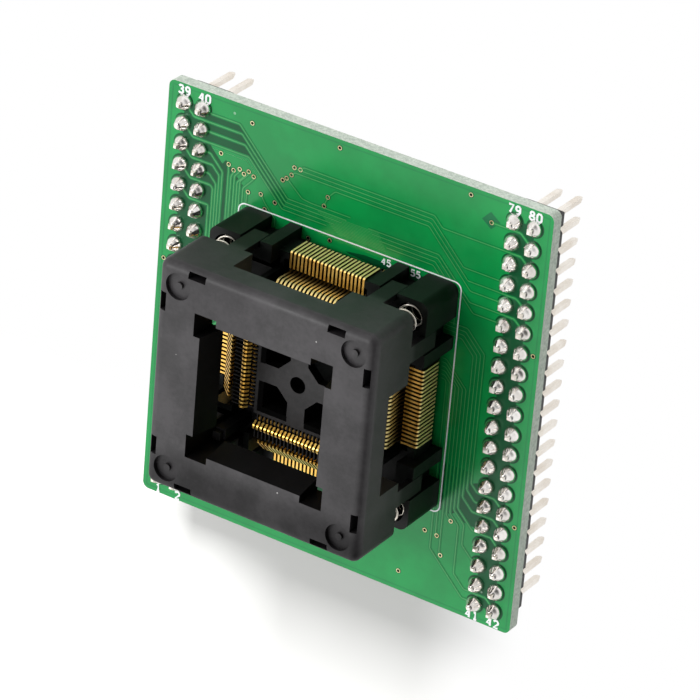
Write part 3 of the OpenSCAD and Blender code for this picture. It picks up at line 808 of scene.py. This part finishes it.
def jointMesh(count=28):
    profile = jointProfile()
    vertices, faces = [], []
    for radius, height in profile:
        for i in range(count):
            a = 2 * math.pi * i / count
            vertices.append((radius * math.cos(a) * mm, radius * math.sin(a) * mm, height * mm))
    for level in range(len(profile) - 1):
        for i in range(count):
            j = (i + 1) % count
            base = level * count
            faces.append((base + i, base + j, base + count + j, base + count + i))
    top = len(vertices)
    vertices += [(0, 0, (joint["height"] + joint["crown"]) * mm), (0, 0, 0)]
    last = (len(profile) - 1) * count
    for i in range(count):
        j = (i + 1) % count
        faces.append((last + i, last + j, top))
        faces.append((j, i, top + 1))
    return meshFrom("jointShape", vertices, (), faces)


def buildJointTree(shape):
    tree, given, out = newTree("solderJoints", ("Wobble", "Float"), ("Seed", "Int"))
    points = addNode(tree, "GeometryNodeMeshToPoints", {"Mesh": given["Geometry"]})
    source = addNode(tree, "GeometryNodeObjectInfo", {"Object": shape})
    turn = addNode(tree, "FunctionNodeRandomValue", {"Seed": given["Seed"]}, data_type="FLOAT_VECTOR")
    size = addNode(tree, "FunctionNodeRandomValue", {"Seed": given["Seed"]}, data_type="FLOAT_VECTOR")
    for draw, limits in ((turn, joint["turns"]), (size, joint["sizes"])):
        draw.inputs[0].default_value, draw.inputs[1].default_value = limits
    placed = addNode(tree, "GeometryNodeInstanceOnPoints",
                     {"Points": points.outputs[0], "Instance": source.outputs["Geometry"],
                      "Rotation": turn.outputs[0], "Scale": size.outputs[0]})
    real = addNode(tree, "GeometryNodeRealizeInstances", {"Geometry": placed.outputs[0]})
    place = addNode(tree, "GeometryNodeInputPosition").outputs[0]
    noise = addNode(tree, "ShaderNodeTexNoise",
                    {"Vector": place, "Scale": joint["noiseScale"], "Detail": 0.0})
    centred = addNode(tree, "ShaderNodeVectorMath", operation="SUBTRACT")
    tree.links.new(noise.outputs["Color"], centred.inputs[0])
    centred.inputs[1].default_value = (0.5, 0.5, 0.5)
    # the skin is uneven above the board only
    height = mathNode(tree, "SUBTRACT", axisParts(tree, place)[2], boardTop)
    above = mathNode(tree, "MULTIPLY", height, joint["rise"], clamp=True)
    push = addNode(tree, "ShaderNodeVectorMath", operation="SCALE")
    tree.links.new(centred.outputs[0], push.inputs[0])
    tree.links.new(times(tree, times(tree, above, given["Wobble"]), joint["push"]), push.inputs["Scale"])
    moved = addNode(tree, "GeometryNodeSetPosition", {"Geometry": real.outputs[0], "Offset": push.outputs[0]})
    closeTree(tree, out, moved.outputs[0], given["Material"])
    return tree


jointShape = newObject("jointShape", jointMesh())
jointTree = buildJointTree(jointShape)
for side, word in ((-1, "west"), (1, "east")):
    spots = [(side * x * mm, y * mm, boardTop) for x in (inner, outer) for y in rowY]
    made = runTree("solderJoints_" + word, jointTree, meshFrom("spots_" + word, spots),
                   {"Wobble": joint["wobble"] * mm, "Seed": joint["seed"] + side, "Material": solderMetal})
    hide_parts("header_solder_" + word)
bpy.data.objects.remove(jointShape)
print("joints soldered")


spring = {"radius": 1.34, "wire": 0.125, "turns": 11, "low": 1.25, "high": 14.22, "spot": 12.0}


def springRun():
    # closed end turns, open turns between
    points, steps = [], spring["turns"] * 28
    dead = 2 * spring["wire"]
    low, high, turns = spring["low"], spring["high"], spring["turns"]
    for i in range(steps + 1):
        u = turns * i / steps
        if u < 1:
            z = low + dead * u
        elif u > turns - 1:
            z = high - dead * (turns - u)
        else:
            z = low + dead + (high - low - 2 * dead) * (u - 1) / (turns - 2)
        a = 2 * math.pi * u
        points.append((spring["radius"] * math.cos(a), spring["radius"] * math.sin(a), z))
    return points


def buildSpringTree():
    tree, given, out = newTree("coilSpring", ("Wire Radius", "Float"))
    run = addNode(tree, "GeometryNodeMeshToCurve", {"Mesh": given["Geometry"]})
    profile = addNode(tree, "GeometryNodeCurvePrimitiveCircle",
                      {"Radius": given["Wire Radius"], "Resolution": 10})
    coil = addNode(tree, "GeometryNodeCurveToMesh",
                   {"Curve": run.outputs[0], "Profile Curve": profile.outputs[0], "Fill Caps": True})
    closeTree(tree, out, coil.outputs[0], given["Material"])
    return tree


springTree = buildSpringTree()
for word, sx, sy in (("ne", 1, 1), ("se", 1, -1), ("sw", -1, -1), ("nw", -1, 1)):
    coilPoints = [((x + sx * spring["spot"]) * mm, (y + sy * spring["spot"]) * mm, boardTop + z * mm)
                  for x, y, z in springRun()]
    made = runTree("coil_" + word, springTree,
                   meshFrom("coilRun_" + word, coilPoints, [(i, i + 1) for i in range(len(coilPoints) - 1)]),
                   {"Wire Radius": spring["wire"] * mm, "Material": springWire})
    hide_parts("spring_" + word)
    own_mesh(made)
print("springs wound")


boxSides = ((3, 2, 1, 0), (4, 5, 6, 7), (0, 1, 5, 4), (1, 2, 6, 5), (2, 3, 7, 6), (3, 0, 4, 7))


def makeBoxes(name, boxes, material, body):
    # plain boxes from pairs of corners in mm over the board
    vertices, faces = [], []
    for low, high in boxes:
        first = len(vertices)
        ring = [(low[0], low[1]), (high[0], low[1]), (high[0], high[1]), (low[0], high[1])]
        vertices += [(x * mm, y * mm, boardTop + z * mm) for z in (low[2], high[2]) for x, y in ring]
        faces += [[first + i for i in side] for side in boxSides]
    made = newObject(name, meshFrom(name, vertices, (), faces), material)
    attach(made, body)
    return made


def turned(low, high, quarter):
    # the box turned by quarter turns about the upright axis
    for _ in range(quarter):
        low, high = (-high[1], low[0], low[2]), (-low[1], high[0], high[2])
    return low, high


# ends of the cover's north and east side windows
windowEnds = [((6.2, 13.2, 8.92), (7.3, 14.148, 12.8)), ((13.2, 5.5, 8.92), (14.148, 7.3, 12.8))]
makeBoxes("windowEnds", windowEnds, coverPlastic, "cover")
# painted shade: dark margins that widen the four windows of the nest
ell = [(-5.05, -1.2), (-4.38, -1.2), (-4.38, -4.38), (-1.1, -4.38), (-1.1, -5.05), (-5.05, -5.05)]
margins = [[turned((x, y, 0), (x, y, 0), quarter)[0][:2] for x, y in ell] for quarter in range(4)]
makePlates("nestMargins", margins, layer["nestLow"], layer["nestHigh"], paintedHoleShade)
# plain blocks at both ends of each contact bank
shoulder = {"at": 6.28, "half": 1.32, "near": 12.3, "far": 13.17, "low": 1.25, "high": 4.45}
banks = [turned((side * shoulder["at"] - shoulder["half"], shoulder["near"], shoulder["low"]),
                (side * shoulder["at"] + shoulder["half"], shoulder["far"], shoulder["high"]), quarter)
         for quarter in range(4) for side in (-1, 1)]
makeBoxes("bankShoulders", banks, basePlastic, "base")
print("shoulders set")


# directions and places in metres; a lobe of sky grows between two closenesses to its direction
studio = {
    "key": {"power": 0.6, "size": 0.12, "place": (-0.20, 0.14, 0.42)},
    "floorLamp": {"power": 12.2, "size": 0.22, "place": (0.02, 0.56, 0.50)},
    "overhead": {"towards": (-0.52, -0.42, 0.74), "from": 0.2, "to": 0.92, "strength": 1.5},
    "beside": {"towards": (-0.78, 0.60, 0.18), "from": 0.35, "to": 0.85, "strength": 1.5},
    "skyLow": 0.05, "horizon": (0.42, 0.18), "aim": (0, 0, 0.012),
    "paperSeen": (0.52, 0.52, 0.51), "paperBounce": (0.36, 0.36, 0.355),
    "paperEast": (0.006, 0.022), "paperNorth": (-0.034, -0.020),
}

floorMesh = meshFrom("floor", [(-3, -3, 0), (3, -3, 0), (3, 3, 0), (-3, 3, 0)], (), [(0, 1, 2, 3)])
floorMaterial, floorTree, floorShader, floorPlace = newMaterial("floorPaper")
floorShader.inputs["Roughness"].default_value = 0.9
floorShader.inputs["Specular IOR Level"].default_value = 0.1
rays = addNode(floorTree, "ShaderNodeLightPath").outputs
isSeen = rays["Is Camera Ray"]
isMirrored = larger(floorTree, isSeen, rays["Is Glossy Ray"])
floorTree.links.new(mixColour(floorTree, isSeen, studio["paperBounce"], studio["paperSeen"]),
                    floorShader.inputs["Base Color"])
# painted light: pure white glow to the east and north, where it is seen or mirrored, hides the object's
# shadow there
floorAt = axisParts(floorTree, floorPlace)
whiteShare = larger(floorTree, rampMask(floorTree, floorAt[0], *studio["paperEast"]),
                    rampMask(floorTree, floorAt[1], *studio["paperNorth"]))
glow = addNode(floorTree, "ShaderNodeEmission", {"Color": (1, 1, 1, 1), "Strength": 1.0})
paper = addNode(floorTree, "ShaderNodeMixShader")
floorTree.links.new(times(floorTree, isMirrored, whiteShare), paper.inputs[0])
floorTree.links.new(floorShader.outputs[0], paper.inputs[1])
floorTree.links.new(glow.outputs[0], paper.inputs[2])
floorOut = next(n for n in floorTree.nodes if n.type == "OUTPUT_MATERIAL")
floorTree.links.new(paper.outputs[0], floorOut.inputs[0])
floor = newObject("floor", floorMesh, floorMaterial)

world = bpy.data.worlds.new("tent")
bpy.context.scene.world = world
world.use_nodes = True
worldTree = world.node_tree
worldTree.nodes.clear()
skyPlace = addNode(worldTree, "ShaderNodeTexCoord").outputs["Generated"]


def skyLobe(lobe):
    towards = addNode(worldTree, "ShaderNodeVectorMath", operation="DOT_PRODUCT")
    worldTree.links.new(skyPlace, towards.inputs[0])
    towards.inputs[1].default_value = lobe["towards"]
    return times(worldTree, rampMask(worldTree, towards.outputs["Value"], lobe["from"], lobe["to"]),
                 lobe["strength"])


lobes = larger(worldTree, skyLobe(studio["overhead"]), skyLobe(studio["beside"]))
brightness = plus(worldTree, studio["skyLow"], lobes)
sky = addNode(worldTree, "ShaderNodeBackground", {"Color": (1, 1, 1, 1), "Strength": brightness})
seenSky = addNode(worldTree, "ShaderNodeBackground", {"Color": (1, 1, 1, 1), "Strength": 1.0})
eitherSky = addNode(worldTree, "ShaderNodeMixShader")
worldRays = addNode(worldTree, "ShaderNodeLightPath").outputs
lowSky = rampMask(worldTree, axisParts(worldTree, skyPlace)[2], *studio["horizon"])
isHorizon = times(worldTree, lowSky, worldRays["Is Glossy Ray"])
worldTree.links.new(larger(worldTree, worldRays["Is Camera Ray"], isHorizon), eitherSky.inputs[0])
worldTree.links.new(sky.outputs[0], eitherSky.inputs[1])
worldTree.links.new(seenSky.outputs[0], eitherSky.inputs[2])
worldOut = addNode(worldTree, "ShaderNodeOutputWorld")
worldTree.links.new(eitherSky.outputs[0], worldOut.inputs[0])


def addSoftbox(name, softbox):
    lamp = bpy.data.lights.new(name, "AREA")
    lamp.energy = softbox["power"]
    lamp.size = softbox["size"]
    made = newObject(name, lamp)
    towards = Vector(studio["aim"]) - Vector(softbox["place"])
    facing = towards.to_track_quat("-Z", "Y").to_matrix().to_4x4()
    made.matrix_world = Matrix.Translation(softbox["place"]) @ facing
    return made


addSoftbox("key", studio["key"])
floorLamp = addSoftbox("floorLamp", studio["floorLamp"])
litByLamp = bpy.data.collections.new("litByFloorLamp")
litByLamp.objects.link(floor)
floorLamp.light_linking.receiver_collection = litByLamp

cameraData = bpy.data.cameras.new("camera")
cameraData.lens = 255.19
cameraData.sensor_width = 36.0
cameraData.clip_start = 0.05
cameraData.clip_end = 20.0
camera = newObject("camera", cameraData)
right = (0.834932, 0.077338, -0.544892)
up = (-0.319836, 0.873908, -0.366045)
back = (0.447876, 0.479899, 0.754390)
place = (0.248477, 0.266278, 0.426155)
camera.matrix_world = Matrix([[right[i], up[i], back[i], place[i]] for i in range(3)] + [[0, 0, 0, 1]])
bpy.context.scene.camera = camera
bpy.context.scene.view_settings.view_transform = "Standard"

print("scene ready")
